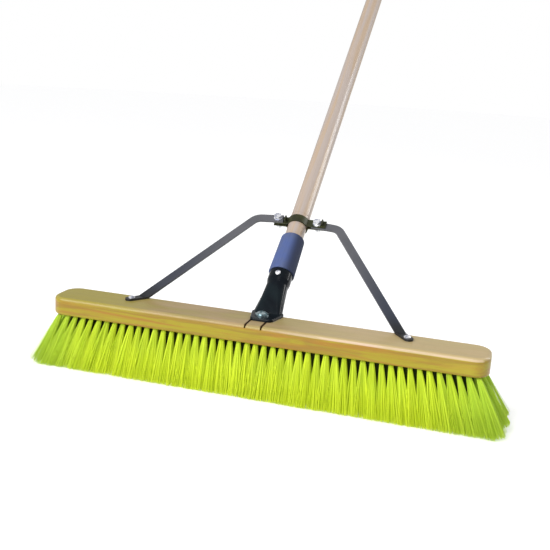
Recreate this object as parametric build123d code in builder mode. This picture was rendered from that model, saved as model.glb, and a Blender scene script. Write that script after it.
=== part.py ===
"""Push broom: a hardwood block with rows of flared tufts, a wooden handle in a
black socket bracket, a rubber sleeve over the socket, and two flat steel braces
clamped to the handle and screwed to the block.

Frame: +X along the block, +Y to the back where the handle leans, +Z up.
The origin is at the middle of the sweeping plane, where the bristle tips lie.
"""

import os
from math import asin, atan2, copysign, cos, degrees, hypot, radians, sin, sqrt, tan

from build123d import *

# Driving dimensions, in millimetres and degrees -----------------------------

# Block
BLOCK_LENGTH = 609.6
BLOCK_WIDTH = 63.5
BLOCK_HEIGHT = 25.4
BLOCK_CORNER_RADIUS = 22
BLOCK_TOP_ROUNDING = 5.5
BLOCK_BOTTOM_ROUNDING = 3
KERF_WIDTH = 2.4
KERF_DEPTH = 4.5
KERF_REAR_Y = 16
KERF_XS = (-14.4, 7.9)

# Bristles
TRIM = 76.2
TUFTS_PER_ROW = 49
TUFT_PITCH = 12.05
ROW_PITCH = 11
ROW_COUNT = 5
TUFT_HOLE_RADIUS = 3.3
TUFT_HOLE_DEPTH = 12
ROOT_WIDTH = 7
FRONT_FLARE = 12
END_FLARES = (33, 33, 30)
END_LIFT = 14
END_FLAT = 19
ROW_GAP = 0.4
STAPLE = (5.6, 1.2, 2)

# Handle
HANDLE_RADIUS = 14.3
SPIGOT_RADIUS = 14.05
SPIGOT_STATION = 186
HANDLE_LENGTH = 1524
HANDLE_LEAN = 52.8
HANDLE_FOOT_Y = 26.8
HANDLE_DOME = 10
HANDLE_TAPER_STATION = 66
HANDLE_END_RADIUS = 11

# Socket bracket, with stations measured up the handle's axis from the block's top
PLATE_THICKNESS = 4
PLATE_FRONT_Y = -8
PLATE_REAR_Y = 33
PLATE_FRONT_WIDTH = 30
PLATE_REAR_WIDTH = 49
PLATE_CORNER_RADIUS = 7
PLATE_EDGE_ROUNDING = 1.5
KEEL_FRONT_Y = 0
KEEL_THICKNESS = 2.2
KEEL_DEPTH = 4
NECK_FRONT_Y = 21
NECK_FRONT_WIDTH = 33
NECK_REAR_WIDTH = 47.5
NECK_CORNER_RADIUS = 4
NECK_STATION = 50
NECK_RADIUS = 15.5
NECK_WALL = 3
NECK_INSET = 0.5
NEARLY_ROUND = 0.1
BELL_STATION = 58
BELL_RADIUS = 17
SLEEVE_STATION = 73
BARREL_RADIUS = 16.4
SOCKET_FLOOR_STATION = 42
HOLLOW_STATION = 38
HOLLOW_RADIUS = 10
SOCKET_CLEARANCE = 0.1
MOUTH_STATION = 126

# Sleeve
SLEEVE_LENGTH = 68.5
SLEEVE_TOP_RADIUS = 17.6
SLEEVE_BOTTOM_RADIUS = 19
SLEEVE_TOP_ROUNDING = 2.8
SLEEVE_BOTTOM_ROUNDING = 1.2

# Clamp
CLAMP_STATION = 172.5
SADDLE_WIDTH = 12.7
SADDLE_THICKNESS = 2
SADDLE_BEND_RADIUS = 4
FLANGE_REACHES = {"left": 36.5, "right": 43.5}
FLANGE_OFFSET = 5.8
CLAMP_BOLT_X = 30
CLAMP_BOLT_RADIUS = 3
HEX_ACROSS_FLATS = 10
HEX_HEAD_HEIGHT = 4.5
HEX_CHAMFER = 0.6
BOLT_STAND_OUT = 2.5
NUT_HEIGHT = 5
WASHER_RADIUS = 6.2
WASHER_THICKNESS = 1.2
SPACER_RADIUS = 5.5
LUG_HEIGHT = 6
LUG_THICKNESS = 2
LUG_INSET = 2
LUG_XS = (-18.5, 38)

# Braces, with the strip's length kept past its fold before it is cut off
BRACE_WIDTH = 12.7
BRACE_THICKNESS = 3
FOLD_X = 185
FOLD_Y = 22.7
BRACE_BEND_X = 63
BRACE_BEND_RISE = -3.5
BRACE_BEND_RADIUS = 17
BRACE_INNER_END_X = 22
TAB_LENGTH = 19
TAB_OVERHANG = 3.5
BELOW_FOLD = 15
BRACE_ROOM = 0.25
BRACE_SCREW_RADIUS = 2.2
BRACE_SCREW_LENGTH = 13
BRACE_SCREW_HEAD_RADIUS = 4.8
BRACE_SCREW_HEAD_HEIGHT = 3

# Fixings, with the shares of a screw head's height or radius that shape it
SHOULDER_SHARE = 0.4
RECESS_LENGTH_SHARE = 1.1
RECESS_WIDTH_SHARE = 0.25
RECESS_DEPTH_SHARE = 0.5
FOOT_BOLT_AT = (-3.5, 10.5)
FOOT_BOLT_RADIUS = 3
FOOT_BOLT_LENGTH = 15
FOOT_BOLT_HEAD_RADIUS = 7
FOOT_BOLT_HEAD_HEIGHT = 4
FOOT_WASHER_RADIUS = 9.5
FOOT_WASHER_THICKNESS = 1.5
HANDLE_SCREW_STATION = 63
HANDLE_SCREW_RADIUS = 2
HANDLE_SCREW_LENGTH = 16
HANDLE_SCREW_HEAD_RADIUS = 3.8
HANDLE_SCREW_HEAD_HEIGHT = 2.4

# Room round a fixing: a shank in its thread, and a bolt in a plain hole
SHANK_ROOM = 0.05
HOLE_ROOM = 0.2

# Levels, directions and planes worked out from the dimensions ----------------

block_top = TRIM + BLOCK_HEIGHT
lean = radians(HANDLE_LEAN)
up_handle = Vector(0, sin(lean), cos(lean))
off_handle = Vector(0, -cos(lean), sin(lean))
handle_foot = Vector(0, HANDLE_FOOT_Y, block_top)


def station(along, off=0, x=0):
    """A point up the handle's axis, then square off it to the front, then along X."""
    return handle_foot + up_handle * along + off_handle * off + Vector(x, 0, 0)


# Local X is radius and local Y is the station, for profiles turned about the axis.
handle_plane = Plane(origin=handle_foot, x_dir=(1, 0, 0), z_dir=off_handle)
handle_axis = Axis(handle_foot, up_handle)

# Clamp levels, measured off the handle's axis. The left brace lies over the front flange and
# the right one under it, so the left side has a spacer where the right side has its brace.
sides = {"left": -1, "right": 1}
front_flange_over = FLANGE_OFFSET + SADDLE_THICKNESS / 2
front_flange_under = FLANGE_OFFSET - SADDLE_THICKNESS / 2
rear_flange_over = front_flange_under - BRACE_THICKNESS - 2 * BRACE_ROOM
rear_flange_under = rear_flange_over - SADDLE_THICKNESS
brace_half_lift = BRACE_THICKNESS / 2 + BRACE_ROOM
brace_off = {
    "left": front_flange_over + brace_half_lift,
    "right": front_flange_under - brace_half_lift,
}
washer_seat = {
    "left": brace_off["left"] + brace_half_lift,
    "right": front_flange_over,
}


class BracePlane:
    """The plane of one brace's strip, from its fold on the block up to the clamp."""

    def __init__(self, name):
        fold_point = Vector(0, FOLD_Y, block_top + BRACE_THICKNESS / 2)
        run = station(CLAMP_STATION, brace_off[name]) - fold_point
        self.slope = atan2(run.Z, run.Y)
        self.rise = hypot(run.Y, run.Z)
        square_off = Vector(0, -sin(self.slope), cos(self.slope))
        self.plane = Plane(origin=fold_point, x_dir=(1, 0, 0), z_dir=square_off)


brace_planes = {name: BracePlane(name) for name in sides}

# Tufts: alternate rows are staggered by half a pitch.
row_numbers = range(ROW_COUNT)
row_centre = (ROW_COUNT - 1) / 2
tip_pitch = (BLOCK_WIDTH + 2 * FRONT_FLARE) / ROW_COUNT


def tuft_count(row):
    return TUFTS_PER_ROW - row % 2


def tuft_roots(row):
    """The centres of one row's tufts on the block's underside."""
    y = (row - row_centre) * ROW_PITCH
    middle = (tuft_count(row) - 1) / 2
    return [((i - middle) * TUFT_PITCH, y) for i in range(tuft_count(row))]


all_roots = [root for row in row_numbers for root in tuft_roots(row)]
tab_slope = atan2(brace_planes["left"].rise + BRACE_BEND_RISE, FOLD_X - BRACE_BEND_X)
brace_screw_x = FOLD_X + TAB_LENGTH * cos(tab_slope)
brace_screw_y = FOLD_Y - TAB_LENGTH * sin(tab_slope)
tab_end_x = brace_screw_x + TAB_OVERHANG * cos(tab_slope)
tab_end_y = brace_screw_y - TAB_OVERHANG * sin(tab_slope)

# Block -------------------------------------------------------------------------

with BuildPart() as block:
    with BuildSketch(Plane.XY.offset(TRIM)):
        RectangleRounded(BLOCK_LENGTH, BLOCK_WIDTH, BLOCK_CORNER_RADIUS)
    extrude(amount=BLOCK_HEIGHT)
    fillet(block.edges().group_by(Axis.Z)[-1], BLOCK_TOP_ROUNDING)
    fillet(block.edges().group_by(Axis.Z)[0], BLOCK_BOTTOM_ROUNDING)
    # Two saw kerfs run in from the front edge and take the bracket's keels.
    kerf_length = KERF_REAR_Y + BLOCK_WIDTH / 2
    with BuildSketch(Plane.XY.offset(block_top)):
        with Locations(*[(x, KERF_REAR_Y - kerf_length / 2) for x in KERF_XS]):
            Rectangle(KERF_WIDTH, kerf_length)
    extrude(amount=-KERF_DEPTH, mode=Mode.SUBTRACT)
    with BuildSketch(Plane.XY.offset(TRIM)):
        with Locations(*all_roots):
            Circle(TUFT_HOLE_RADIUS)
    extrude(amount=TUFT_HOLE_DEPTH, mode=Mode.SUBTRACT)
    with Locations((*FOOT_BOLT_AT, block_top)):
        Hole(FOOT_BOLT_RADIUS + SHANK_ROOM, FOOT_BOLT_LENGTH - PLATE_THICKNESS)
    with Locations(*[(side * brace_screw_x, brace_screw_y, block_top) for side in sides.values()]):
        Hole(BRACE_SCREW_RADIUS + SHANK_ROOM, BRACE_SCREW_LENGTH - BRACE_THICKNESS)

# Bristles and their staples ------------------------------------------------------


def bristle_row(row):
    """One row: a body that widens to its flat tips and leans out at its ends, where the tips
    lift, with a root in each hole of the block."""
    place = row - row_centre
    root_half = ((tuft_count(row) - 1) * TUFT_PITCH + ROOT_WIDTH) / 2
    end_half = BLOCK_LENGTH / 2 + END_FLARES[int(abs(place))]
    flat_half = end_half - END_FLAT
    tip_y = place * tip_pitch
    root_y = place * ROW_PITCH
    tip_reach = (tip_pitch - ROW_GAP) / 2
    with BuildPart() as bristles:
        with BuildSketch(Plane.XZ.offset(-BLOCK_WIDTH)):
            with BuildLine():
                Polyline((-root_half, TRIM), (-end_half, END_LIFT), (-flat_half, 0),
                         (flat_half, 0), (end_half, END_LIFT), (root_half, TRIM), close=True)
            make_face()
        extrude(amount=2 * BLOCK_WIDTH)
        with BuildSketch(Plane.YZ.offset(-BLOCK_LENGTH)):
            with BuildLine():
                Polyline((root_y - ROOT_WIDTH / 2, TRIM), (root_y + ROOT_WIDTH / 2, TRIM),
                         (tip_y + tip_reach, 0), (tip_y - tip_reach, 0), close=True)
            make_face()
        extrude(amount=2 * BLOCK_LENGTH, mode=Mode.INTERSECT)
        with BuildSketch(Plane.XY.offset(TRIM)):
            with Locations(*tuft_roots(row)):
                Circle(TUFT_HOLE_RADIUS - SHANK_ROOM)
        extrude(amount=TUFT_HOLE_DEPTH - STAPLE[2])
    return bristles.part


with BuildPart() as tuft_staples:
    staple_level = TRIM + TUFT_HOLE_DEPTH - STAPLE[2] / 2
    with Locations(*[(x, y, staple_level) for x, y in all_roots]):
        Box(*STAPLE)

# Handle ---------------------------------------------------------------------------

handle_top_station = SOCKET_FLOOR_STATION + HANDLE_LENGTH
handle_screw_seat = Plane(station(HANDLE_SCREW_STATION, BELL_RADIUS), (1, 0, 0), off_handle)
with BuildPart() as handle:
    with BuildSketch(handle_plane):
        with BuildLine():
            Polyline(
                (0, handle_top_station),
                (0, SOCKET_FLOOR_STATION),
                (HANDLE_END_RADIUS, SOCKET_FLOOR_STATION),
                (SPIGOT_RADIUS, HANDLE_TAPER_STATION),
                (SPIGOT_RADIUS, SPIGOT_STATION),
                (HANDLE_RADIUS, SPIGOT_STATION),
                (HANDLE_RADIUS, handle_top_station),
                close=True,
            )
        make_face()
    revolve(axis=handle_axis)
    fillet(handle.edges().filter_by(GeomType.CIRCLE).sort_by(Axis.Z)[-1], HANDLE_DOME)
    with Locations(handle_screw_seat):
        Hole(HANDLE_SCREW_RADIUS + SHANK_ROOM, HANDLE_SCREW_LENGTH)

# Socket bracket --------------------------------------------------------------------


def plate_outline(front_y, rear_y, front_width, rear_width, corner):
    """A rounded trapezium, wider to the back."""
    with BuildSketch() as outline:
        with BuildLine():
            Polyline(
                (-front_width / 2, front_y),
                (front_width / 2, front_y),
                (rear_width / 2, rear_y),
                (-rear_width / 2, rear_y),
                close=True,
            )
        make_face()
        fillet(outline.vertices(), corner)
    return outline.sketch


neck_rear_y = PLATE_REAR_Y - NECK_INSET
hollow_front_y = NECK_FRONT_Y + NECK_WALL
with BuildPart() as socket_bracket:
    with BuildSketch(Plane.XY.offset(block_top)):
        add(plate_outline(PLATE_FRONT_Y, PLATE_REAR_Y, PLATE_FRONT_WIDTH, PLATE_REAR_WIDTH,
                          PLATE_CORNER_RADIUS))
    extrude(amount=PLATE_THICKNESS)
    fillet(socket_bracket.edges().group_by(Axis.Z)[-1], PLATE_EDGE_ROUNDING)
    with BuildSketch(Plane.XY.offset(block_top + PLATE_THICKNESS)):
        add(plate_outline(NECK_FRONT_Y, neck_rear_y, NECK_FRONT_WIDTH, NECK_REAR_WIDTH, NECK_CORNER_RADIUS))
    with BuildSketch(Plane(station(NECK_STATION), (1, 0, 0), up_handle)):
        RectangleRounded(2 * NECK_RADIUS, 2 * NECK_RADIUS, NECK_RADIUS - NEARLY_ROUND)
    loft(ruled=True)
    with BuildSketch(handle_plane):
        with BuildLine():
            Polyline(
                (0, NECK_STATION),
                (NECK_RADIUS, NECK_STATION),
                (BELL_RADIUS, BELL_STATION),
                (BELL_RADIUS, SLEEVE_STATION),
                (BARREL_RADIUS, SLEEVE_STATION),
                (BARREL_RADIUS, MOUTH_STATION),
                (0, MOUTH_STATION),
                close=True,
            )
        make_face()
    revolve(axis=handle_axis)
    # The socket is bored to the handle's tapered end, and the neck is hollow below its floor.
    with BuildSketch(handle_plane):
        with BuildLine():
            Polyline(
                (0, HOLLOW_STATION),
                (HOLLOW_RADIUS, HOLLOW_STATION),
                (HOLLOW_RADIUS, SOCKET_FLOOR_STATION),
                (HANDLE_END_RADIUS + SOCKET_CLEARANCE, SOCKET_FLOOR_STATION),
                (SPIGOT_RADIUS + SOCKET_CLEARANCE, HANDLE_TAPER_STATION),
                (SPIGOT_RADIUS + SOCKET_CLEARANCE, MOUTH_STATION),
                (0, MOUTH_STATION),
                close=True,
            )
        make_face()
    revolve(axis=handle_axis, mode=Mode.SUBTRACT)
    with BuildSketch(Plane.XY.offset(block_top)):
        add(plate_outline(hollow_front_y, neck_rear_y - NECK_WALL, NECK_FRONT_WIDTH - 2 * NECK_WALL,
                          NECK_REAR_WIDTH - 2 * NECK_WALL, NECK_CORNER_RADIUS / 2))
    with BuildSketch(Plane(station(HOLLOW_STATION), (1, 0, 0), up_handle)):
        RectangleRounded(2 * HOLLOW_RADIUS, 2 * HOLLOW_RADIUS, HOLLOW_RADIUS - NEARLY_ROUND)
    loft(ruled=True, mode=Mode.SUBTRACT)
    # Keels under the plate stand in the block's kerfs.
    keel_length = KERF_REAR_Y - KEEL_FRONT_Y
    with BuildSketch(Plane.XY.offset(block_top)):
        with Locations(*[(x, KERF_REAR_Y - keel_length / 2) for x in KERF_XS]):
            Rectangle(KEEL_THICKNESS, keel_length)
    extrude(amount=-KEEL_DEPTH)
    with Locations((*FOOT_BOLT_AT, block_top + PLATE_THICKNESS)):
        Hole(FOOT_BOLT_RADIUS + HOLE_ROOM, PLATE_THICKNESS)
    with Locations(handle_screw_seat):
        Hole(HANDLE_SCREW_RADIUS + HOLE_ROOM, BELL_RADIUS)

# Sleeve over the socket's mouth -------------------------------------------------------

sleeve_top = SLEEVE_STATION + SLEEVE_LENGTH
with BuildPart() as socket_sleeve:
    with BuildSketch(handle_plane):
        with BuildLine():
            Polyline(
                (BARREL_RADIUS + SOCKET_CLEARANCE, SLEEVE_STATION),
                (SLEEVE_BOTTOM_RADIUS, SLEEVE_STATION),
                (SLEEVE_TOP_RADIUS, sleeve_top),
                (SPIGOT_RADIUS + SOCKET_CLEARANCE, sleeve_top),
                (SPIGOT_RADIUS + SOCKET_CLEARANCE, MOUTH_STATION + SOCKET_CLEARANCE),
                (BARREL_RADIUS + SOCKET_CLEARANCE, MOUTH_STATION + SOCKET_CLEARANCE),
                close=True,
            )
        make_face()
    revolve(axis=handle_axis)
    outer_rims = socket_sleeve.edges().filter_by(GeomType.CIRCLE).filter_by(
        lambda rim: rim.radius > BARREL_RADIUS + 2 * SOCKET_CLEARANCE).sort_by(Axis.Z)
    fillet(outer_rims[-1], SLEEVE_TOP_ROUNDING)
    fillet(outer_rims[0], SLEEVE_BOTTOM_ROUNDING)

# Clamp ---------------------------------------------------------------------------------

# Local X is X and local Y is the distance off the axis, so a saddle is extruded down the handle.
clamp_plane = Plane(station(CLAMP_STATION + SADDLE_WIDTH / 2), (1, 0, 0), -up_handle)
saddle_radius = SPIGOT_RADIUS + SOCKET_CLEARANCE + SADDLE_THICKNESS / 2


def saddle_profile(flange_off, crown_off):
    """A strap over the handle with a flange each side, its middle line set off by half its
    thickness. The bend is a circle that touches the flange and the strap's own circle."""
    bend_off = flange_off + copysign(SADDLE_BEND_RADIUS, crown_off)
    reach = saddle_radius + SADDLE_BEND_RADIUS
    bend_x = sqrt(reach**2 - bend_off**2)
    share = saddle_radius / reach
    with BuildSketch() as profile:
        with BuildLine():
            flange = Line((-FLANGE_REACHES["left"], flange_off), (-bend_x, flange_off))
            bend = TangentArc(flange @ 1, (-bend_x * share, bend_off * share), tangent=flange % 1)
            ThreePointArc(bend @ 1, (0, crown_off), (bend_x * share, bend_off * share))
            mirror(bend, about=Plane.YZ)
            Line((bend_x, flange_off), (FLANGE_REACHES["right"], flange_off))
        trace(line_width=SADDLE_THICKNESS)
    return profile.sketch


def clamp_bolt_plane(name, off):
    """A plane square to one clamp bolt, at a distance off the handle's axis."""
    return Plane(station(CLAMP_STATION, off, sides[name] * CLAMP_BOLT_X), (1, 0, 0), off_handle)


def clamp_bolt_planes(off):
    return [clamp_bolt_plane(name, off) for name in sides]


with BuildPart() as clamp_front_saddle:
    with BuildSketch(clamp_plane):
        add(saddle_profile((front_flange_under + front_flange_over) / 2, saddle_radius))
    extrude(amount=SADDLE_WIDTH)
    # An upturned lug beside each bolt's head keeps it from turning.
    with BuildSketch(clamp_plane.offset(LUG_INSET)):
        with Locations(*[(x, front_flange_over + LUG_HEIGHT / 2) for x in LUG_XS]):
            Rectangle(LUG_THICKNESS, LUG_HEIGHT)
    extrude(amount=SADDLE_WIDTH - 2 * LUG_INSET)
    with Locations(*clamp_bolt_planes(front_flange_over)):
        Hole(CLAMP_BOLT_RADIUS + HOLE_ROOM, SADDLE_THICKNESS)

with BuildPart() as clamp_rear_saddle:
    with BuildSketch(clamp_plane):
        add(saddle_profile((rear_flange_under + rear_flange_over) / 2, -saddle_radius))
    extrude(amount=SADDLE_WIDTH)
    with Locations(*clamp_bolt_planes(rear_flange_over)):
        Hole(CLAMP_BOLT_RADIUS + HOLE_ROOM, SADDLE_THICKNESS)


def clamp_bolt(name):
    """A hexagon-headed bolt through both flanges and the brace's end."""
    seat_off = washer_seat[name] + WASHER_THICKNESS
    seat = clamp_bolt_plane(name, seat_off)
    shank_length = seat_off - rear_flange_under + NUT_HEIGHT + BOLT_STAND_OUT
    with BuildPart() as bolt:
        with BuildSketch(seat):
            RegularPolygon(HEX_ACROSS_FLATS / 2, 6, major_radius=False)
        extrude(amount=HEX_HEAD_HEIGHT)
        chamfer(bolt.faces().sort_by(Axis.Z)[-1].edges(), HEX_CHAMFER)
        with BuildSketch(seat):
            Circle(CLAMP_BOLT_RADIUS)
        extrude(amount=-shank_length)
    return bolt.part


def ring(seat, radius, thickness):
    """A plain washer or spacer for an M6 bolt, standing on a plane."""
    with BuildPart() as washer:
        with BuildSketch(seat):
            Circle(radius)
            Circle(CLAMP_BOLT_RADIUS + HOLE_ROOM, mode=Mode.SUBTRACT)
        extrude(amount=thickness)
    return washer.part


def clamp_nut(name):
    """A hexagon nut behind the rear flange."""
    with BuildPart() as nut:
        with BuildSketch(clamp_bolt_plane(name, rear_flange_under)):
            RegularPolygon(HEX_ACROSS_FLATS / 2, 6, major_radius=False)
            Circle(CLAMP_BOLT_RADIUS + SHANK_ROOM, mode=Mode.SUBTRACT)
        extrude(amount=-NUT_HEIGHT)
    return nut.part


clamp_spacer = ring(
    clamp_bolt_plane("left", rear_flange_over), SPACER_RADIUS, front_flange_under - rear_flange_over
)

# Braces -----------------------------------------------------------------------------------


def brace(name):
    """A flat strip with one edgewise bend, cut off level with the block and folded into a tab."""
    side = sides[name]
    strip = brace_planes[name]
    fold_back_y = FOLD_Y + BRACE_THICKNESS / 2 * tan(strip.slope / 2)
    with BuildPart() as piece:
        with BuildSketch(strip.plane):
            with BuildLine():
                FilletPolyline(
                    (side * BRACE_INNER_END_X, strip.rise),
                    (side * BRACE_BEND_X, strip.rise + BRACE_BEND_RISE),
                    (side * (FOLD_X + BELOW_FOLD * cos(tab_slope)), -BELOW_FOLD * sin(tab_slope)),
                    radius=BRACE_BEND_RADIUS,
                )
            trace(line_width=BRACE_WIDTH)
        extrude(amount=BRACE_THICKNESS / 2, both=True)
        split(bisect_by=Plane.XY.offset(block_top), keep=Keep.TOP)
        with BuildSketch(Plane.XY.offset(block_top)):
            with BuildLine():
                Line((side * (FOLD_X - BELOW_FOLD * cos(tab_slope)), FOLD_Y + BELOW_FOLD * sin(tab_slope)),
                     (side * tab_end_x, tab_end_y))
            trace(line_width=BRACE_WIDTH)
            with Locations((side * tab_end_x, tab_end_y)):
                Circle(BRACE_WIDTH / 2)
            with Locations((side * FOLD_X, fold_back_y)):
                Rectangle(4 * BRACE_WIDTH, 4 * BRACE_WIDTH, align=(Align.CENTER, Align.MIN),
                          mode=Mode.SUBTRACT)
        extrude(amount=BRACE_THICKNESS)
        with Locations((side * brace_screw_x, brace_screw_y, block_top + BRACE_THICKNESS)):
            Hole(BRACE_SCREW_RADIUS + HOLE_ROOM, BRACE_THICKNESS)
        with Locations(clamp_bolt_plane(name, washer_seat[name])):
            Hole(CLAMP_BOLT_RADIUS + HOLE_ROOM, washer_seat[name] - rear_flange_over)
    return piece.part


# Screws and the foot bolt ---------------------------------------------------------------------


def pan_head_screw(seat, head_radius, head_height, shank_radius, shank_length):
    """A round domed head on a seat, a plain shank below it and a cross recess in its top."""
    head_axis = Axis(seat.origin, seat.z_dir)
    section = Plane(origin=seat.origin, x_dir=seat.x_dir, z_dir=-seat.y_dir)
    shoulder = head_height * SHOULDER_SHARE
    crown = head_height - shoulder
    dome_radius = (head_radius**2 + crown**2) / (2 * crown)
    half_angle = degrees(asin(head_radius / dome_radius))
    with BuildPart() as screw:
        with BuildSketch(section):
            with BuildLine():
                Polyline((0, head_height), (0, -shank_length), (shank_radius, -shank_length),
                         (shank_radius, 0), (head_radius, 0), (head_radius, shoulder))
                CenterArc((0, head_height - dome_radius), dome_radius, 90 - half_angle, half_angle)
            make_face()
        revolve(axis=head_axis)
        with BuildSketch(seat.offset(head_height)):
            Rectangle(head_radius * RECESS_LENGTH_SHARE, head_radius * RECESS_WIDTH_SHARE)
            Rectangle(head_radius * RECESS_WIDTH_SHARE, head_radius * RECESS_LENGTH_SHARE)
        extrude(amount=-head_height * RECESS_DEPTH_SHARE, mode=Mode.SUBTRACT)
    return screw.part


def brace_screw(name):
    seat = Plane((sides[name] * brace_screw_x, brace_screw_y, block_top + BRACE_THICKNESS))
    return pan_head_screw(seat, BRACE_SCREW_HEAD_RADIUS, BRACE_SCREW_HEAD_HEIGHT,
                          BRACE_SCREW_RADIUS, BRACE_SCREW_LENGTH)


handle_screw = pan_head_screw(handle_screw_seat, HANDLE_SCREW_HEAD_RADIUS, HANDLE_SCREW_HEAD_HEIGHT,
                              HANDLE_SCREW_RADIUS, HANDLE_SCREW_LENGTH)

foot_washer_seat = Plane((*FOOT_BOLT_AT, block_top + PLATE_THICKNESS))
foot_washer = ring(foot_washer_seat, FOOT_WASHER_RADIUS, FOOT_WASHER_THICKNESS)
foot_bolt = pan_head_screw(
    foot_washer_seat.offset(FOOT_WASHER_THICKNESS), FOOT_BOLT_HEAD_RADIUS, FOOT_BOLT_HEAD_HEIGHT,
    FOOT_BOLT_RADIUS, FOOT_BOLT_LENGTH + FOOT_WASHER_THICKNESS
)

# Named pieces, one file each ------------------------------------------------------------------

pieces = {
    "block": block.part,
    "tuft_staples": tuft_staples.part,
    "handle": handle.part,
    "socket_bracket": socket_bracket.part,
    "socket_sleeve": socket_sleeve.part,
    "handle_screw": handle_screw,
    "foot_bolt": foot_bolt,
    "foot_washer": foot_washer,
    "clamp_front_saddle": clamp_front_saddle.part,
    "clamp_rear_saddle": clamp_rear_saddle.part,
    "clamp_spacer": clamp_spacer,
}
for row in row_numbers:
    pieces[f"bristle_row_{row + 1}"] = bristle_row(row)
for name in sides:
    pieces[f"clamp_bolt_{name}"] = clamp_bolt(name)
    washer_plane = clamp_bolt_plane(name, washer_seat[name])
    pieces[f"clamp_washer_{name}"] = ring(washer_plane, WASHER_RADIUS, WASHER_THICKNESS)
    pieces[f"clamp_nut_{name}"] = clamp_nut(name)
    pieces[f"brace_{name}"] = brace(name)
    pieces[f"brace_screw_{name}"] = brace_screw(name)

os.makedirs("parts", exist_ok=True)
for name, piece in pieces.items():
    piece.label = name
    export_step(piece, f"parts/{name}.step")
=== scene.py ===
"""The looks of a push broom: a lacquered hardwood block with flared tufts of lime filament, a
wooden handle in a gloss black socket bracket with a slate rubber sleeve, and two powder coated
steel braces clamped to the handle and screwed to the block.

Frame: +X along the block, +Y to the back where the handle leans, +Z up, in metres. The origin is
at the middle of the sweeping plane, where the bristle tips lie.
"""

import math

import bpy
import numpy as np
from mathutils import Matrix, Vector


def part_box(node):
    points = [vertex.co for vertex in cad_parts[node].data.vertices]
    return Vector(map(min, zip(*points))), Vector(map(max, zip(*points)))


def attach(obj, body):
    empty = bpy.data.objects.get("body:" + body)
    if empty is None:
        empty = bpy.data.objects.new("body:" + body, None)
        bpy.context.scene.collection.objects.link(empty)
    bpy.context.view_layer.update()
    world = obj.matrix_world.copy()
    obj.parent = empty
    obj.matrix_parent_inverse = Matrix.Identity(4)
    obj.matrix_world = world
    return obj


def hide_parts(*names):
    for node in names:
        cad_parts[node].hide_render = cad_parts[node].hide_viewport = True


bl_info = {
    "name": "Push Broom",
    "version": (1, 0, 0),
    "blender": (4, 5, 0),
    "location": "3D View > Sidebar > Broom",
    "description": "Tufts, finishes and a studio for a hardwood push broom",
    "category": "Object",
}

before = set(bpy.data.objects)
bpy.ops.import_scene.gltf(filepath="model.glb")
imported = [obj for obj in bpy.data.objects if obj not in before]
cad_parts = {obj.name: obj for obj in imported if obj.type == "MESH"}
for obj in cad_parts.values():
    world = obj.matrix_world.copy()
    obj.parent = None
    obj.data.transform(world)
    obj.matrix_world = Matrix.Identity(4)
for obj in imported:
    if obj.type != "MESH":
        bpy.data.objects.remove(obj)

# The broom's layout ----------------------------------------------------------------------------

ROW_NAMES = [f"bristle_row_{row}" for row in range(1, 6)]
BLOCK_LOW, BLOCK_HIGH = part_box("block")
BLOCK_UNDERSIDE = BLOCK_LOW.z
BLOCK_TOP = BLOCK_HIGH.z
HALF_BLOCK = BLOCK_HIGH.x
# How far the bristles reach along the block, in the row that reaches farthest.
END_REACH = max(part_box(name)[1].x for name in ROW_NAMES)
HANDLE_LEAN = math.radians(52.8)

# The tufts stand in the block's drilled rows, every other row shifted by half a pitch.
TUFT_COUNTS = (49, 48, 49, 48, 49)
TUFT_PITCH = 0.01205
ROW_PITCH = 0.011
ROOT_DEPTH = 0.006
KERF_XS = (-0.0144, 0.0079)

# What the lengths and the colours among the settings have in common.
LENGTH = {"subtype": "DISTANCE", "unit": "LENGTH"}
COLOUR = {"subtype": "COLOR", "size": 3, "min": 0, "max": 1}


class BristleSettings(bpy.types.PropertyGroup):
    """Sizes of the tufts and colours of their filament."""

    fibres: bpy.props.IntProperty(
        name="Fibres per tuft",
        description="How many filaments stand in each tuft",
        default=150,
        min=8,
    )
    thickness: bpy.props.FloatProperty(
        name="Fibre thickness",
        description="Diameter of one filament",
        default=0.0009,
        **LENGTH,
    )
    root_radius: bpy.props.FloatProperty(
        name="Root radius",
        description="Radius of a tuft where it enters the block",
        default=0.0016,
        **LENGTH,
    )
    spread: bpy.props.FloatProperty(
        name="Tip spread",
        description="Half width of a tuft at its tips, along the block",
        default=0.0100,
        **LENGTH,
    )
    end_flare: bpy.props.FloatProperty(
        name="End flare",
        description="How far the last tufts of a row lean outwards",
        default=0.0375,
        **LENGTH,
    )
    trim_wave: bpy.props.FloatProperty(
        name="Trim wave",
        description="How uneven the trimmed tips are",
        default=0.0008,
        **LENGTH,
    )
    seed: bpy.props.IntProperty(
        name="Seed",
        description="Seed of the scatter of the filaments",
        default=7,
    )
    light: bpy.props.FloatVectorProperty(
        name="Light filament",
        description="Colour of the lightest filaments",
        default=(0.595, 0.715, 0.023),
        **COLOUR,
    )
    deep: bpy.props.FloatVectorProperty(
        name="Deep filament",
        description="Colour of the deepest filaments",
        default=(0.50, 0.66, 0.023),
        **COLOUR,
    )


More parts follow.
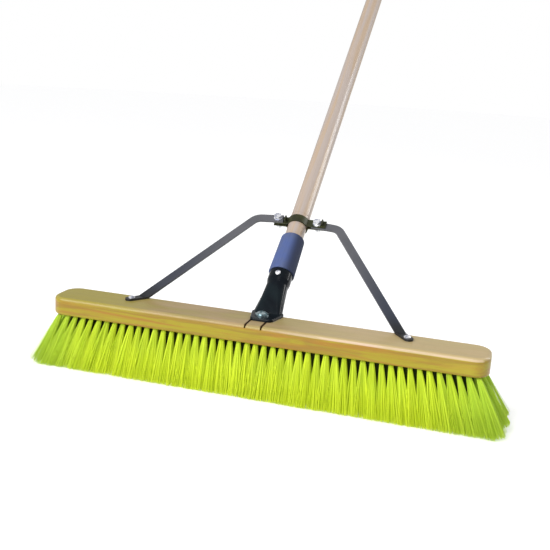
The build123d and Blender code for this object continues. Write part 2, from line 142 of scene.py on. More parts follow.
class WoodSettings(bpy.types.PropertyGroup):
    """Colours of the block and the handle."""

    amber: bpy.props.FloatVectorProperty(
        name="Lacquered wood",
        description="Main colour of the block's lacquered sides",
        default=(0.30, 0.243, 0.006),
        **COLOUR,
    )
    honey: bpy.props.FloatVectorProperty(
        name="Dark streaks",
        description="Colour of the darker streaks in the block's sides",
        default=(0.30, 0.150, 0.006),
        **COLOUR,
    )
    # The block's paler top colour is painted sheen.
    painted_sheen_top: bpy.props.FloatVectorProperty(
        name="Worn top",
        description="Colour of the block's top, where the lacquer is thin",
        default=(0.36, 0.28, 0.105),
        **COLOUR,
    )
    handle: bpy.props.FloatVectorProperty(
        name="Handle wood",
        description="Colour of the handle",
        default=(0.41, 0.343, 0.305),
        **COLOUR,
    )
    gloss: bpy.props.FloatProperty(
        name="Lacquer roughness",
        description="Roughness of the block's clear lacquer",
        default=0.16,
        min=0,
        max=1,
    )


class MetalSettings(bpy.types.PropertyGroup):
    """Colours of the bracket, the sleeve, the braces and the clamp."""

    bracket: bpy.props.FloatVectorProperty(
        name="Bracket",
        description="Colour of the socket bracket's enamel",
        default=(0.003, 0.005, 0.008),
        **COLOUR,
    )
    sleeve: bpy.props.FloatVectorProperty(
        name="Sleeve",
        description="Colour of the rubber sleeve",
        default=(0.070, 0.104, 0.255),
        **COLOUR,
    )
    brace: bpy.props.FloatVectorProperty(
        name="Brace",
        description="Colour of the braces' powder coat",
        default=(0.094, 0.095, 0.106),
        **COLOUR,
    )
    clamp: bpy.props.FloatVectorProperty(
        name="Clamp",
        description="Colour of the oiled steel clamp",
        default=(0.030, 0.033, 0.014),
        **COLOUR,
    )


class StageSettings(bpy.types.PropertyGroup):
    """The studio's lamps, floor and camera."""

    key: bpy.props.FloatProperty(
        name="Key light",
        description="Strength of the broad light from above",
        default=2.3,
        min=0,
    )
    fill: bpy.props.FloatProperty(
        name="Front lamp",
        description="Power of the lamp beside the camera",
        default=10,
        min=0,
        unit="POWER",
    )
    rim: bpy.props.FloatProperty(
        name="Rim lamp",
        description="Power of the lamp behind the broom",
        default=12,
        min=0,
        unit="POWER",
    )
    top: bpy.props.FloatProperty(
        name="Top lamp",
        description="Power of the lamp over the block",
        default=5,
        min=0,
        unit="POWER",
    )
    sky: bpy.props.FloatProperty(
        name="Room light",
        description="Strength of the light from all sides",
        default=0.42,
        min=0,
    )
    floor: bpy.props.FloatVectorProperty(
        name="Floor",
        description="Colour of the floor",
        default=(0.93, 0.93, 0.935),
        **COLOUR,
    )
    lens: bpy.props.FloatProperty(
        name="Lens",
        description="Focal length of the camera",
        default=55.99,
        min=1,
        unit="CAMERA",
    )


# Shader maths ----------------------------------------------------------------------------------


class Wire:
    """A shader socket that sums, differences and products can be written on."""

    def __init__(self, finish, socket):
        self.finish, self.socket = finish, socket

    def maths(self, operation, *values):
        """A Math node on the given values and wires."""
        return self.finish.node(
            "ShaderNodeMath", {"operation": operation}, dict(enumerate(values))
        )

    def __add__(self, other):
        return self.maths("ADD", self, other)

    def __sub__(self, other):
        return self.maths("SUBTRACT", self, other)

    def __rsub__(self, other):
        return self.maths("SUBTRACT", other, self)

    def __mul__(self, other):
        return self.maths("MULTIPLY", self, other)

    __radd__ = __add__
    __rmul__ = __mul__

    def size(self):
        """The value without its sign."""
        return self.maths("ABSOLUTE", self)

    def ramp(self, low, high):
        """The value carried smoothly from low..high to 0..1, and held there outside."""
        return self.finish.node(
            "ShaderNodeMapRange",
            {"interpolation_type": "SMOOTHSTEP"},
            {"Value": self, "From Min": low, "From Max": high},
        )


class Finish:
    """One material's nodes."""

    def __init__(self, name):
        self.material = bpy.data.materials.new(name)
        self.material.use_nodes = True
        self.tree = self.material.node_tree
        self.tree.nodes.clear()

    def node(self, kind, settings=None, values=None, out=0):
        """Adds one node. Its settings are set first, then each socket, by name or number, gets
        its value or its link. Returns one of its outputs as a Wire."""
        made = self.tree.nodes.new(kind)
        for key, value in (settings or {}).items():
            setattr(made, key, value)
        for key, value in (values or {}).items():
            socket = made.inputs[key]
            if isinstance(value, Wire):
                self.tree.links.new(value.socket, socket)
            elif socket.type == "RGBA" and len(value) == 3:
                socket.default_value = (*value, 1)
            else:
                socket.default_value = value
        return Wire(self, made.outputs[out]) if made.outputs else None

    def place(self, stretch=(1, 1, 1), turn=(0, 0, 0), shift=(0, 0, 0)):
        """Object coordinates, stretched, turned and shifted."""
        return self.node(
            "ShaderNodeMapping",
            values={
                "Vector": self.node("ShaderNodeTexCoord", out="Object"),
                "Scale": stretch,
                "Rotation": turn,
                "Location": shift,
            },
        )

    def along_handle(self, stretch):
        """Object coordinates turned until z runs along the handle, then stretched."""
        turned = self.place(turn=(HANDLE_LEAN, 0.0, 0.0))
        return self.node("ShaderNodeVectorMath", {"operation": "MULTIPLY"}, {0: turned, 1: stretch})

    def axes(self):
        """The three object coordinates, each as a wire."""
        split = self.node("ShaderNodeSeparateXYZ", values={0: self.place()})
        return [Wire(self, output) for output in split.socket.node.outputs]

    def noise(self, point, scale=1.0, detail=2.0, roughness=0.5, distortion=0.0):
        """Smooth noise at a point, from 0 to 1 with most of it near a half."""
        return self.node(
            "ShaderNodeTexNoise",
            values={
                "Vector": point,
                "Scale": scale,
                "Detail": detail,
                "Roughness": roughness,
                "Distortion": distortion,
            },
        )

    def mix(self, share, first, second):
        """A colour that goes from first to second as share goes from 0 to 1."""
        return self.node(
            "ShaderNodeMix", {"data_type": "RGBA"}, {0: share, 6: first, 7: second}, out=2
        )

    def bump(self, height, depth, strength):
        """Relief whose height runs from 0 to depth, in metres."""
        return self.node(
            "ShaderNodeBump", values={"Height": height, "Distance": depth, "Strength": strength}
        )

    def close(self, colour, **sockets):
        """Ends the nodes in one Principled shader and returns the material."""
        names = {
            key.replace("_", " ").title().replace("Ior", "IOR"): value
            for key, value in sockets.items()
        }
        shader = self.node("ShaderNodeBsdfPrincipled", values={"Base Color": colour, **names})
        self.node("ShaderNodeOutputMaterial", values={"Surface": shader})
        return self.material


def paint(material, *names):
    """Gives CAD nodes their finish, in place of the one that they came with."""
    for name in names:
        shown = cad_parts[name]
        shown.data.materials.clear()
        shown.data.materials.append(material)


# The tufts -------------------------------------------------------------------------------------

# Whole tufts: how the middles of their tips lie beside the middles of their roots. In front of
# the middle row, each row leans out less than the one behind it by the flare loss.
LEAN_POWER = 2.2
FRONT_FLARE_LOSS = 0.0016
TIP_ROW_PITCH = ROW_PITCH + 0.0040
TUFT_SCATTER_ALONG = 0.003
TUFT_SCATTER_ACROSS = 0.0014

# Filaments: how they fill a tuft. A tuft's half width at its tips is the spread times the least
# share and a chance part of the range, and a few filaments stray farther.
STATIONS = np.array([0.0, 0.16, 0.48, 1.0])
OPENING_POWER = 0.9
LEAST_SPREAD = 0.84
SPREAD_RANGE = 0.42
TIP_HALF_DEPTH = 0.0088
END_TIP_HALF_DEPTH = 0.0100
RADIUS_SCATTER = 0.12
TIP_SCATTER = 0.003
STRAY_FROM = 0.985
STRAY_REACH = 2.2
SIDE_MARGIN = 0.0006

# The trim: how high the tips end. Its two waves are in radians per metre along the block.
LOWEST_TIP = 0.0003
END_LIFT = 0.0110
END_LIFT_PER_ROW = 0.0016
END_LIFT_LENGTH = 0.019
FINE_WAVE, FINE_WAVE_START = 61, 1.3
SLOW_WAVE = 23
RAGGED_TRIM = 0.0007
TUFT_TRIM = 0.0005

# The rods that stand for the filaments. The turn is in radians, from each rod to the next.
ROD_SIDES = 3
ROD_TURN = 2.399
ROOT_TAPER = 0.75


def row_place(row):
    """How many rows a row, counted from 0 at the front, stands behind the middle one."""
    return row - (len(ROW_NAMES) - 1) / 2


def row_tufts(row, settings, chance):
    """One row's tufts as arrays: the centres of the roots, of the tips, and each tuft's own
    chance numbers. A tip leans out along the block by the flare times a power of its root's share
    of the way to the row's end, and the tips' rows stand wider apart than the roots' do."""
    count = TUFT_COUNTS[row]
    place = row_place(row)
    root_x = (np.arange(count) - (count - 1) / 2) * TUFT_PITCH
    reach = np.abs(root_x / root_x[-1])
    flare = settings.end_flare - FRONT_FLARE_LOSS * max(-place, 0)
    tuft_chance = chance.random((count, 5))
    off = tuft_chance[:, :2] - 0.5
    tip_x = root_x + np.sign(root_x) * flare * reach**LEAN_POWER + off[:, 0] * TUFT_SCATTER_ALONG
    tip_y = place * TIP_ROW_PITCH + off[:, 1] * TUFT_SCATTER_ACROSS
    root_y = np.full(count, place * ROW_PITCH)
    roots = np.stack([root_x, root_y, np.full(count, BLOCK_UNDERSIDE)], 1)
    tips = np.stack([tip_x, tip_y, np.zeros(count)], 1)
    return roots, tips, tuft_chance


def trim_heights(row, tip_x, settings, tuft_chance, chance):
    """Where the filaments of a row end: on a slightly wavy trim, the product of two sines along
    the block, with the ends of the row lifted as they lean out."""
    edge = np.maximum(np.abs(tip_x) - (END_REACH - END_LIFT_LENGTH), 0) / END_LIFT_LENGTH
    wave = np.sin(tip_x * FINE_WAVE + FINE_WAVE_START) * np.sin(tip_x * SLOW_WAVE + row)
    ragged = chance.random(tip_x.shape) ** 2 * RAGGED_TRIM
    lift = END_LIFT + END_LIFT_PER_ROW * row_place(row)
    heights = LOWEST_TIP + lift * edge + (0.5 + 0.5 * wave) * settings.trim_wave + ragged
    return heights + tuft_chance[:, 3:4] * TUFT_TRIM


def fibre_lines(row, settings, chance):
    """The centre lines of one row's filaments, as an array of filaments by stations by three.
    A tuft's middle runs straight from root to tip, and each filament's place beside it goes from
    the round root to the wider, squarer tip with a power a little under 1 of the share of the
    way, so that the tuft opens at once below the block. Seeds on a sunflower spiral fill both
    ends evenly."""
    roots, tips, tuft_chance = row_tufts(row, settings, chance)
    count, fibres = len(roots), settings.fibres
    order = np.arange(fibres) + 0.5
    radius = np.sqrt(order / fibres)
    # Each seed is a golden angle round from the one before, and each tuft has its own turn.
    angle = order * math.pi * (3 - math.sqrt(5))
    angle = angle[None, :] + tuft_chance[:, 2:3] * 2 * math.pi
    radius = radius[None, :] + (chance.random((count, fibres)) - 0.5) * RADIUS_SCATTER
    across = np.stack([radius * np.cos(angle), radius * np.sin(angle)], 2)
    # A circle pressed out to a square: each point moves away until its longer part is its radius.
    long_part = np.maximum(np.abs(across).max(2, keepdims=True), 1e-6)
    squared = across * radius[..., None] / long_part
    jitter = (chance.random((count, fibres, 2)) - 0.5) * TIP_SCATTER
    stray = chance.random((count, fibres)) > STRAY_FROM
    jitter = jitter * (1 + STRAY_REACH * stray[..., None])
    # Some tufts open wider than others, so the gaps between them end at different heights.
    wide = settings.spread * (LEAST_SPREAD + SPREAD_RANGE * tuft_chance[:, 4])
    wide[[0, -1]] = settings.spread
    deep = np.full(count, TIP_HALF_DEPTH)
    deep[[0, -1]] = END_TIP_HALF_DEPTH
    tip_off = squared * np.stack([wide, deep], 1)[:, None, :] + jitter
    root_off = across * settings.root_radius
    share = STATIONS[None, None, :, None]
    centre = roots[:, None, None, :2] + (tips - roots)[:, None, None, :2] * share
    opening = (tip_off - root_off)[:, :, None, :] * share**OPENING_POWER
    line = np.empty((count, fibres, len(STATIONS), 3))
    line[..., :2] = centre + root_off[:, :, None, :] + opening
    tip_z = trim_heights(row, line[:, :, -1, 0], settings, tuft_chance, chance)
    root_z = BLOCK_UNDERSIDE + ROOT_DEPTH
    line[..., 2] = root_z + (tip_z - root_z)[:, :, None] * STATIONS
    # No filament passes the row's end by its scatter.
    limit = END_REACH - SIDE_MARGIN
    line[..., 0] = np.clip(line[..., 0], -limit, limit)
    return line.reshape(-1, len(STATIONS), 3), tuft_chance


def fibre_mesh(name, lines, thickness, shade):
    """A mesh of three sided rods: at each station of a centre line, a level triangle of the
    filament's radius stands round it, a little smaller towards the root, each rod turned from the
    one before, and its ends are closed. shade is kept for each filament as an attribute."""
    fibres, stations = lines.shape[:2]
    around = np.arange(ROD_SIDES) * 2 * math.pi / ROD_SIDES
    turned = around[None, :] + (np.arange(fibres) * ROD_TURN)[:, None]
    ring = np.stack([np.cos(turned), np.sin(turned), np.zeros_like(turned)], 2) * thickness / 2
    taper = np.linspace(ROOT_TAPER, 1.0, stations)
    points = lines[:, :, None, :] + ring[:, None, :, :] * taper[None, :, None, None]
    start = (np.arange(fibres) * stations * ROD_SIDES)[:, None]
    base = start[:, :, None] + (np.arange(stations - 1) * ROD_SIDES)[None, :, None]
    side = np.arange(ROD_SIDES)[None, None, :]
    after = (side + 1) % ROD_SIDES
    below = base + ROD_SIDES
    quads = np.stack([base + side, below + side, below + after, base + after], -1).reshape(-1, 4)
    cap = np.arange(ROD_SIDES)[None, :]
    top = start + cap
    bottom = start + (stations - 1) * ROD_SIDES + cap[:, ::-1]
    mesh = bpy.data.meshes.new(name)
    mesh.from_pydata(points.reshape(-1, 3), [], [*quads.tolist(), *top.tolist(), *bottom.tolist()])
    mesh.polygons.foreach_set("use_smooth", np.ones(len(mesh.polygons), bool))
    level = mesh.attributes.new("shade", "FLOAT", "POINT")
    level.data.foreach_set("value", np.repeat(shade, stations * ROD_SIDES).astype(np.float32))
    mesh.update()
    return mesh


# Filament colours, from the whole length to the parts that differ.
PALER_FILAMENT = (0.42, 0.62, 0.045)
# Painted light: the brighter colour of the tips.
TIP_PAINTED_LIGHT = (0.70, 0.84, 0.028)
END_FILAMENT = (0.30, 0.55, 0.06)
# Painted shade between the tufts of the inner rows.
PAINTED_SHADE_FILAMENT = (0.010, 0.022, 0.004)
# Painted shade at the outer rows' roots, under the block.
ROOT_PAINTED_SHADE = (0.24, 0.34, 0.01)


def filament_finish(row, settings):
    """Lime filament. The shade attribute sets each filament's own tone, the tips are painted
    brighter as painted light and the ends of the rows greener. The inner rows get painted shade
    near the block, where little light comes in between the tufts, and the outer rows only at their
    roots."""
    finish = Finish(f"lime_filament_{row + 1}")
    shade = finish.node("ShaderNodeAttribute", {"attribute_name": "shade"}, out="Fac")
    x, _, z = finish.axes()
    colour = finish.mix(shade, settings.deep, settings.light)
    tone = finish.noise(finish.place((60, 60, 9)), detail=3.0, roughness=0.6)
    colour = finish.mix(tone.ramp(0.35, 0.7) * 0.3, colour, PALER_FILAMENT)
    # Painted light: the filament is painted brighter towards its tips.
    colour = finish.mix(z.ramp(0.060, 0.008) * 0.75, colour, TIP_PAINTED_LIGHT)
    ends = x.size().ramp(HALF_BLOCK - 0.09, HALF_BLOCK + 0.02)
    colour = finish.mix(ends * 0.5, colour, END_FILAMENT)
    if 0 < row < len(ROW_NAMES) - 1:
        # Painted shade: the inner rows darken near the block, between the tufts.
        inner_shade = z.ramp(0.014, 0.050) * x.size().ramp(HALF_BLOCK - 0.012, HALF_BLOCK - 0.022)
        colour = finish.mix(inner_shade * 0.97, colour, PAINTED_SHADE_FILAMENT)
    else:
        # Painted shade at the roots of the outer rows, under the block.
        root_shade = z.ramp(BLOCK_UNDERSIDE - 0.004, BLOCK_UNDERSIDE)
        colour = finish.mix(root_shade, colour, ROOT_PAINTED_SHADE)
    # A painted glow: the emission stands in for the fluorescent pigment and lifts the shaded
    # filament.
    return finish.close(
        colour,
        roughness=0.45,
        specular_ior_level=0.35,
        emission_color=colour,
        emission_strength=0.09,
    )


class BROOM_OT_bristles(bpy.types.Operator):
    """Builds the five rows of tufts, filament by filament"""

    bl_idname = "broom.bristles"
    bl_label = "Bristles"

    def execute(self, context):
        settings = context.scene.broom_bristles
        for row, name in enumerate(ROW_NAMES):
            chance = np.random.default_rng(settings.seed + row)
            lines, tuft_chance = fibre_lines(row, settings, chance)
            # Each filament's tone is partly its own and partly its tuft's.
            own = chance.random(len(lines))
            shade = 0.45 + 0.35 * own + 0.25 * np.repeat(tuft_chance[:, 1], settings.fibres)
            mesh = fibre_mesh(f"tufts_{row + 1}", lines, settings.thickness, shade)
            tufts = bpy.data.objects.new(f"tufts_{row + 1}", mesh)
            context.scene.collection.objects.link(tufts)
            tufts.data.materials.append(filament_finish(row, settings))
            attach(tufts, "root")
            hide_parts(name)
        return {"FINISHED"}


# The wood --------------------------------------------------------------------------------------

# The block's sides.
STRAW_PATCH = (0.38, 0.33, 0.022)
SIDE_FIGURE = (0.225, 0.135, 0.008)
SIDE_GRAIN = (0.25, 0.13, 0.008)
# The block's top.
TOP_GRAIN = (0.29, 0.20, 0.075)
TOP_STRAW = (0.36, 0.31, 0.10)
TOP_BLUSH = (0.44, 0.30, 0.185)
# The top's left end and right half: a painted sheen that grows towards the right.
TOP_LEFT_END = (0.34, 0.285, 0.035)
TOP_RIGHT_SHEEN = (0.52, 0.40, 0.21)
# Both.
PORE = (0.24, 0.12, 0.02)
# A painted highlight along the front edge.
PAINTED_EDGE_HIGHLIGHT = (0.86, 0.64, 0.58)
# Painted shade in the two saw kerfs.
KERF_PAINTED_SHADE = (0.075, 0.030, 0.008)
# The handle.
HANDLE_STREAK = (0.44, 0.315, 0.20)
HANDLE_GRAIN = (0.33, 0.235, 0.155)


def block_finish(settings):
    """Lacquered hardwood. Growth lines are noise drawn out along the block, with a slow wander,
    so the sides carry streaks and the top a fine even grain."""
    finish = Finish("lacquered_hardwood")
    x, y, z = finish.axes()
    wander = finish.noise(finish.place((3.2, 9, 9)))
    streak = finish.noise(
        finish.place((5.5, 70, 120), turn=(0.0, 0.03, 0.02)),
        detail=4.0,
        roughness=0.62,
        distortion=0.8,
    )
    grain = finish.noise(
        finish.place((22, 620, 620), turn=(0.0, 0.02, 0.012)), detail=3.0, roughness=0.7
    )
    pores = finish.noise(finish.place((130, 2600, 2600)), detail=1.0)
    figure = finish.noise(
        finish.place((7, 34, 90), turn=(0.0, 0.07, 0.05), shift=(3, 1, 2)),
        detail=3.0,
        roughness=0.6,
        distortion=1.2,
    )
    blush = finish.noise(finish.place((9, 30, 9)))
    side = finish.mix(streak.ramp(0.42, 0.62), settings.amber, settings.honey)
    side = finish.mix(wander.ramp(0.52, 0.72) * 0.7, side, STRAW_PATCH)
    side = finish.mix(figure.ramp(0.47, 0.60) * 0.6, side, SIDE_FIGURE)
    side = finish.mix(grain.ramp(0.5, 0.75) * 0.4, side, SIDE_GRAIN)
    # The top's paler base colour is painted sheen; grain, straw and blush vary it at random.
    top = finish.mix(grain.ramp(0.36, 0.66) * 0.55, settings.painted_sheen_top, TOP_GRAIN)
    top = finish.mix(blush.ramp(0.45, 0.7) * 0.5, top, TOP_STRAW)
    top = finish.mix(blush.ramp(0.55, 0.35) * 0.5, top, TOP_BLUSH)
    # Painted sheen: the top is deeper at its left end and paler over its right half.
    top = finish.mix(x.ramp(-0.12, -0.24) * 0.85, top, TOP_LEFT_END)
    top = finish.mix(x.ramp(-0.02, 0.14) * 0.65, top, TOP_RIGHT_SHEEN)
    # The sides' colour gives way to the top's, which is painted sheen, within the edges' rounding.
    colour = finish.mix(z.ramp(BLOCK_TOP - 0.0048, BLOCK_TOP - 0.0008), side, top)
    colour = finish.mix(pores.ramp(0.62, 0.75) * 0.3, colour, PORE)
    # A painted highlight runs pale along the front edge's rounding, most of all on the right half.
    edge_glint = z.ramp(BLOCK_TOP - 0.0050, BLOCK_TOP - 0.0036)
    edge_glint = edge_glint * z.ramp(BLOCK_TOP - 0.0010, BLOCK_TOP - 0.0022)
    edge_glint = edge_glint * y.ramp(-0.025, -0.028) * x.ramp(0.01, 0.09) * streak.ramp(0.25, 0.55)
    colour = finish.mix(edge_glint * 0.4, colour, PAINTED_EDGE_HIGHLIGHT)
    # Painted shade darkens the two saw kerfs brown, as far as the front edge's rounding.
    beside = x.maths("MINIMUM", *((x - kerf_x).size() for kerf_x in KERF_XS))
    kerf_shade = beside.ramp(0.0026, 0.0012) * y.ramp(-0.0305, -0.0285)
    kerf_shade = kerf_shade * z.ramp(BLOCK_TOP - 0.007, BLOCK_TOP - 0.004) * 0.85
    colour = finish.mix(kerf_shade, colour, KERF_PAINTED_SHADE)
    return finish.close(
        colour,
        roughness=0.36 + 0.22 * grain,
        normal=finish.bump(grain * 0.6 + pores * 0.4, 0.00012, 0.5),
        specular_ior_level=0.3,
        coat_weight=0.32 + 0.3 * streak.ramp(0.3, 0.7),
        coat_roughness=settings.gloss,
        coat_ior=1.4,
    )


def handle_finish(settings):
    """Pale turned wood under a thin varnish, with grain along the handle's own axis."""
    finish = Finish("handle_wood")
    streak = finish.noise(
        finish.along_handle((90, 90, 3.0)), detail=4.0, roughness=0.6, distortion=0.5
    )
    fine = finish.noise(finish.along_handle((900, 900, 16)), detail=3.0, roughness=0.65)
    colour = finish.mix(streak.ramp(0.42, 0.62) * 0.75, settings.handle, HANDLE_STREAK)
    colour = finish.mix(fine.ramp(0.5, 0.75) * 0.4, colour, HANDLE_GRAIN)
    return finish.close(
        colour,
        roughness=0.34 + 0.2 * fine,
        normal=finish.bump(fine, 0.0001, 0.4),
        coat_weight=0.4 + 0.4 * streak,
        coat_roughness=0.18,
        coat_ior=1.45,
    )


class BROOM_OT_wood(bpy.types.Operator):
    """Gives the block and the handle their wood and lacquer"""

    bl_idname = "broom.wood"
    bl_label = "Wood"

    def execute(self, context):
        settings = context.scene.broom_wood
        paint(block_finish(settings), "block")
        paint(handle_finish(settings), "handle")
        return {"FINISHED"}


# The bracket, the sleeve, the braces and the clamp ---------------------------------------------

CLOUDED_BLACK = (0.006, 0.011, 0.014)
SLEEVE_BLOOM = (0.085, 0.110, 0.21)
SLEEVE_LINE = (0.045, 0.058, 0.125)
# Painted shade on the sleeve's right side.
SLEEVE_PAINTED_SHADE = (0.016, 0.022, 0.050)
# Painted shade low on the braces and at their feet.
BRACE_LOW_PAINTED_SHADE = (0.020, 0.025, 0.042)
BRACE_FOOT_PAINTED_SHADE = (0.008, 0.009, 0.011)
BRACE_CLOUD = (0.048, 0.050, 0.060)
CLAMP_CLOUD = (0.054, 0.058, 0.020)


def bracket_finish(settings):
    """Deep black enamel with a slight orange peel and fine scuffs."""
    finish = Finish("gloss_black")
    peel = finish.noise(finish.place(), scale=420.0)
    scuff = finish.noise(finish.place((60, 60, 900)), detail=3.0, roughness=0.7)
    cloud = finish.noise(finish.place(), scale=36.0)
    colour = finish.mix(cloud.ramp(0.4, 0.7), settings.bracket, CLOUDED_BLACK)
    return finish.close(
        colour,
        roughness=0.13 + 0.16 * scuff.ramp(0.5, 0.8) + 0.06 * cloud,
        normal=finish.bump(peel, 0.00008, 0.35),
        specular_ior_level=0.14,
        coat_weight=0.12 + 0.2 * cloud,
        coat_roughness=0.06,
        coat_ior=1.3,
    )


def sleeve_finish(settings):
    """Matte slate rubber with fine mould lines along it, a faint bloom and painted shade on its
    right side.
    """
    finish = Finish("slate_sleeve")
    lines = finish.noise(finish.along_handle((520, 520, 26)), detail=3.0, roughness=0.6)
    grit = finish.noise(finish.place(), scale=1500.0, detail=1.0)
    bloom = finish.noise(finish.place(), scale=45.0, detail=3.0)
    x, _, _ = finish.axes()
    colour = finish.mix(bloom.ramp(0.35, 0.7), settings.sleeve, SLEEVE_BLOOM)
    colour = finish.mix(lines.ramp(0.5, 0.8) * 0.35, colour, SLEEVE_LINE)
    # Painted shade on the sleeve's right side.
    colour = finish.mix(x.ramp(0.001, 0.014) * 0.88, colour, SLEEVE_PAINTED_SHADE)
    return finish.close(
        colour,
        roughness=0.58 + 0.16 * lines,
        normal=finish.bump(lines * 0.6 + grit * 0.4, 0.0001, 0.45),
        specular_ior_level=0.22,
    )


def powder_finish(settings):
    """Grey powder coat with a fine pebble, and painted shade that makes it a little darker and
    bluer low down on the braces and nearly black at their feet."""
    finish = Finish("grey_powder_coat")
    x, _, z = finish.axes()
    pebble = finish.noise(finish.place(), scale=1900.0)
    cloud = finish.noise(finish.place(), scale=30.0, detail=3.0)
    # Painted shade: darker and bluer low down on the braces, nearly black at their feet.
    colour = finish.mix(x.size().ramp(0.07, 0.18), settings.brace, BRACE_LOW_PAINTED_SHADE)
    colour = finish.mix(z.ramp(BLOCK_TOP + 0.022, BLOCK_TOP + 0.004), colour, BRACE_FOOT_PAINTED_SHADE)
    colour = finish.mix(cloud.ramp(0.45, 0.75) * 0.35, colour, BRACE_CLOUD)
    return finish.close(
        colour,
        roughness=0.34 + 0.16 * pebble,
        normal=finish.bump(pebble, 0.00007, 0.6),
        specular_ior_level=0.38,
        coat_weight=0.10 + 0.2 * cloud,
        coat_roughness=0.2,
    )


def clamp_finish(settings):
    """Dark oiled steel with rolled streaks."""
    finish = Finish("dark_clamp_steel")
    streak = finish.noise(finish.place((60, 700, 700)), detail=3.0, roughness=0.6)
    cloud = finish.noise(finish.place(), scale=90.0, detail=3.0)
    colour = finish.mix(cloud.ramp(0.4, 0.7), settings.clamp, CLAMP_CLOUD)
    return finish.close(
        colour,
        roughness=0.32 + 0.2 * streak,
        metallic=0.35 + 0.2 * cloud,
        normal=finish.bump(streak, 0.00006, 0.5),
    )


class BROOM_OT_ironwork(bpy.types.Operator):
    """Finishes the bracket, the sleeve, the braces and the clamp"""

    bl_idname = "broom.ironwork"
    bl_label = "Ironwork"

    def execute(self, context):
        settings = context.scene.broom_metal
        paint(bracket_finish(settings), "socket_bracket")
        paint(sleeve_finish(settings), "socket_sleeve")
        paint(powder_finish(settings), "brace_left", "brace_right")
        paint(clamp_finish(settings), "clamp_front_saddle", "clamp_rear_saddle", "clamp_spacer")
        return {"FINISHED"}


# The fixings -----------------------------------------------------------------------------------

PAIRED_FIXINGS = ("clamp_bolt", "clamp_nut", "clamp_washer", "brace_screw")


def zinc_finish(name, light, dark, rough, metal):
    """Plated steel with a soft clouding and fine turning marks."""
    finish = Finish(name)
    cloud = finish.noise(finish.place(), scale=240.0, detail=3.0)
    marks = finish.noise(finish.place((300, 300, 3000)))
    colour = finish.mix(cloud.ramp(0.44, 0.60), light, dark)
    return finish.close(
        colour,
        metallic=metal + 0.15 * cloud,
        roughness=rough + 0.16 * cloud + 0.05 * marks,
        normal=finish.bump(marks, 0.00004, 0.4),
    )


class BROOM_OT_fixings(bpy.types.Operator):
    """Finishes the screws, bolts, nuts, washers and tuft staples"""

    bl_idname = "broom.fixings"
    bl_label = "Fixings"

    def execute(self, context):
        bright = zinc_finish(
            "bright_zinc",
            light=(0.93, 0.93, 0.96),
            dark=(0.42, 0.44, 0.53),
            rough=0.22,
            metal=0.55,
        )
        blue = zinc_finish(
            "blue_zinc",
            light=(0.56, 0.68, 0.71),
            dark=(0.17, 0.25, 0.28),
            rough=0.22,
            metal=0.85,
        )
        wire = zinc_finish(
            "staple_wire",
            light=(0.55, 0.54, 0.50),
            dark=(0.28, 0.27, 0.25),
            rough=0.30,
            metal=0.85,
        )
        for fixing in PAIRED_FIXINGS:
            paint(bright, f"{fixing}_left", f"{fixing}_right")
        paint(bright, "handle_screw")
        paint(blue, "foot_washer", "foot_bolt")
        paint(wire, "tuft_staples")
        return {"FINISHED"}


# The studio ------------------------------------------------------------------------------------

CAMERA_PLACE = Vector((0.30971, -1.06355, 0.44416))
CAMERA_YAW = math.radians(-15.52)
CAMERA_PITCH = math.radians(14.12)
CAMERA_ROLL = math.radians(3.54)
SENSOR_WIDTH = 36
FLOOR_RADIUS = 9.0
FLOOR_MOTTLE = (0.91, 0.915, 0.92)
WHITE = (1.0, 1.0, 1.0, 1)
KEY_LIGHT_ANGLE = math.radians(40)
BROOM_MIDDLE = (0.0, 0.0, 0.1)


def camera_frame():
    """The camera's axes: forward is yaw degrees off +Y and pitch degrees down, and the level
    right and up axes are turned about it by the roll."""
    forward = Vector((
        math.sin(CAMERA_YAW) * math.cos(CAMERA_PITCH),
        math.cos(CAMERA_YAW) * math.cos(CAMERA_PITCH),
        -math.sin(CAMERA_PITCH),
    ))
    level = Vector((math.cos(CAMERA_YAW), -math.sin(CAMERA_YAW), 0))
    upright = level.cross(forward)
    right = level * math.cos(CAMERA_ROLL) + upright * math.sin(CAMERA_ROLL)
    up = right.cross(forward)
    turned = Matrix((right, up, -forward)).transposed().to_4x4()
    return Matrix.Translation(CAMERA_PLACE) @ turned


def add_camera(scene, lens):
    """The camera, made the scene's own."""
    made = bpy.data.cameras.new("view")
    made.sensor_width = SENSOR_WIDTH
    made.lens = lens
    camera = bpy.data.objects.new("view", made)
    camera.matrix_world = camera_frame()
    scene.collection.objects.link(camera)
    scene.camera = camera


def floor_mesh(radius, rings=24, spokes=96):
    """A round flat studio floor: points at equal steps of radius and angle, joined by quads about
    a middle face."""
    share = np.linspace(0, 1, rings + 1)[1:, None]
    angle = np.arange(spokes) * 2 * math.pi / spokes
    points = np.stack(
        [
            radius * share * np.cos(angle),
            radius * share * np.sin(angle),
            np.zeros((rings, spokes)),
        ],
        2,
    ).reshape(-1, 3)
    ring = np.arange(rings - 1)[:, None] * spokes
    spoke = np.arange(spokes)[None, :]
    after = (spoke + 1) % spokes
    outer = ring + spokes
    quads = np.stack([ring + spoke, outer + spoke, outer + after, ring + after], -1)
    mesh = bpy.data.meshes.new("floor")
    mesh.from_pydata(points, [], [*quads.reshape(-1, 4).tolist(), list(range(spokes))])
    mesh.polygons.foreach_set("use_smooth", np.ones(len(mesh.polygons), bool))
    mesh.update()
    return mesh


def floor_finish(settings):
    """Matte pale paint with a faint mottle, which gives back a little light of its own."""
    finish = Finish("studio_floor")
    mottle = finish.noise(finish.place(), scale=2.5, detail=3.0)
    colour = finish.mix(mottle * 0.2, settings.floor, FLOOR_MOTTLE)
    return finish.close(
        colour,
        roughness=0.75 + 0.1 * mottle,
        emission_color=colour,
        emission_strength=0.25,
    )


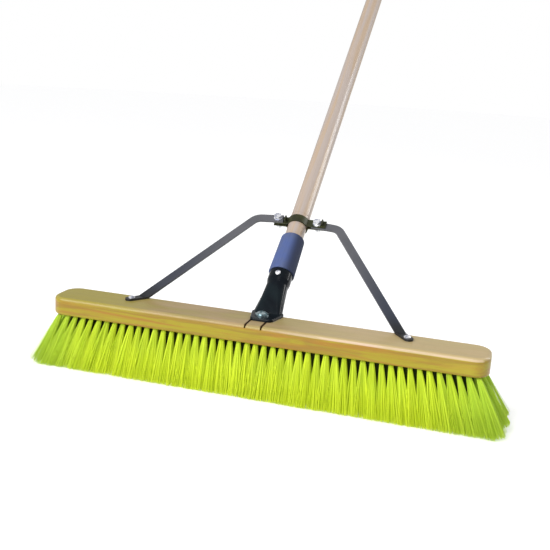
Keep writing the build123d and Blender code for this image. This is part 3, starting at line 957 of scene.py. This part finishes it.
def studio_world(strength):
    """Even light from all sides. The backdrop is seen white, and lights the broom no more than
    the rest of the room."""
    world = bpy.data.worlds.new("studio")
    world.use_nodes = True
    nodes, join = world.node_tree.nodes, world.node_tree.links.new
    room = nodes["Background"]
    room.inputs["Color"].default_value = WHITE
    room.inputs["Strength"].default_value = strength
    backdrop = nodes.new("ShaderNodeBackground")
    backdrop.inputs["Color"].default_value = WHITE
    ray = nodes.new("ShaderNodeLightPath")
    either = nodes.new("ShaderNodeMixShader")
    join(ray.outputs["Is Camera Ray"], either.inputs[0])
    join(room.outputs[0], either.inputs[1])
    join(backdrop.outputs[0], either.inputs[2])
    join(either.outputs[0], nodes["World Output"].inputs["Surface"])
    return world


def add_lamp(scene, name, power, place, target, size=None):
    """A soft oblong lamp that faces a point, or with no size a broad light from far away."""
    light = bpy.data.lights.new(name, "AREA" if size else "SUN")
    if size:
        light.shape = "RECTANGLE"
        light.size, light.size_y = size
    else:
        light.angle = KEY_LIGHT_ANGLE
    light.energy = power
    lamp = bpy.data.objects.new(name, light)
    lamp.location = place
    lamp.rotation_mode = "QUATERNION"
    lamp.rotation_quaternion = (Vector(target) - Vector(place)).to_track_quat("-Z", "Y")
    scene.collection.objects.link(lamp)


class BROOM_OT_stage(bpy.types.Operator):
    """Sets up the floor, the lamps and the camera"""

    bl_idname = "broom.stage"
    bl_label = "Stage"

    def execute(self, context):
        scene, settings = context.scene, context.scene.broom_stage
        floor = bpy.data.objects.new("studio_floor", floor_mesh(FLOOR_RADIUS))
        floor.data.materials.append(floor_finish(settings))
        scene.collection.objects.link(floor)
        scene.world = studio_world(settings.sky)
        add_lamp(scene, "key_light", settings.key, (-1.2, -1.6, 1.5), BROOM_MIDDLE)
        add_lamp(scene, "front_lamp", settings.fill, (-0.5, -1.8, 0.5), BROOM_MIDDLE, (1.2, 0.8))
        add_lamp(scene, "rim_lamp", settings.rim, (1.3, 1.2, 1.1), (0, 0.15, 0.25), (0.5, 1.2))
        add_lamp(scene, "top_lamp", settings.top, (0.15, -0.75, 1.6), (0.15, 0, 0.1), (0.9, 0.25))
        scene.view_settings.view_transform = "Standard"
        add_camera(scene, settings.lens)
        return {"FINISHED"}


# The add-on ------------------------------------------------------------------------------------


class BROOM_PT_sidebar(bpy.types.Panel):
    """Lists the broom's settings and the steps that build it"""

    bl_label = "Push Broom"
    bl_idname = "BROOM_PT_sidebar"
    bl_space_type = "VIEW_3D"
    bl_region_type = "UI"
    bl_category = "Broom"

    def draw(self, context):
        for operator, group in STEPS:
            box = self.layout.box()
            if group:
                settings = getattr(context.scene, group)
                for name in settings.__annotations__:
                    box.prop(settings, name)
            box.operator(operator.bl_idname)


GROUPS = {
    "broom_bristles": BristleSettings,
    "broom_wood": WoodSettings,
    "broom_metal": MetalSettings,
    "broom_stage": StageSettings,
}
STEPS = [
    (BROOM_OT_stage, "broom_stage"),
    (BROOM_OT_bristles, "broom_bristles"),
    (BROOM_OT_wood, "broom_wood"),
    (BROOM_OT_ironwork, "broom_metal"),
    (BROOM_OT_fixings, None),
]


def register():
    for name, group in GROUPS.items():
        bpy.utils.register_class(group)
        setattr(bpy.types.Scene, name, bpy.props.PointerProperty(type=group))
    for operator, _ in STEPS:
        bpy.utils.register_class(operator)
    bpy.utils.register_class(BROOM_PT_sidebar)


def unregister():
    bpy.utils.unregister_class(BROOM_PT_sidebar)
    for operator, _ in reversed(STEPS):
        bpy.utils.unregister_class(operator)
    for name, group in reversed(GROUPS.items()):
        delattr(bpy.types.Scene, name)
        bpy.utils.unregister_class(group)


def main():
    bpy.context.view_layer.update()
    register()
    bpy.ops.broom.stage()
    bpy.ops.broom.bristles()
    bpy.ops.broom.wood()
    bpy.ops.broom.ironwork()
    bpy.ops.broom.fixings()


if __name__ == "__main__":
    main()
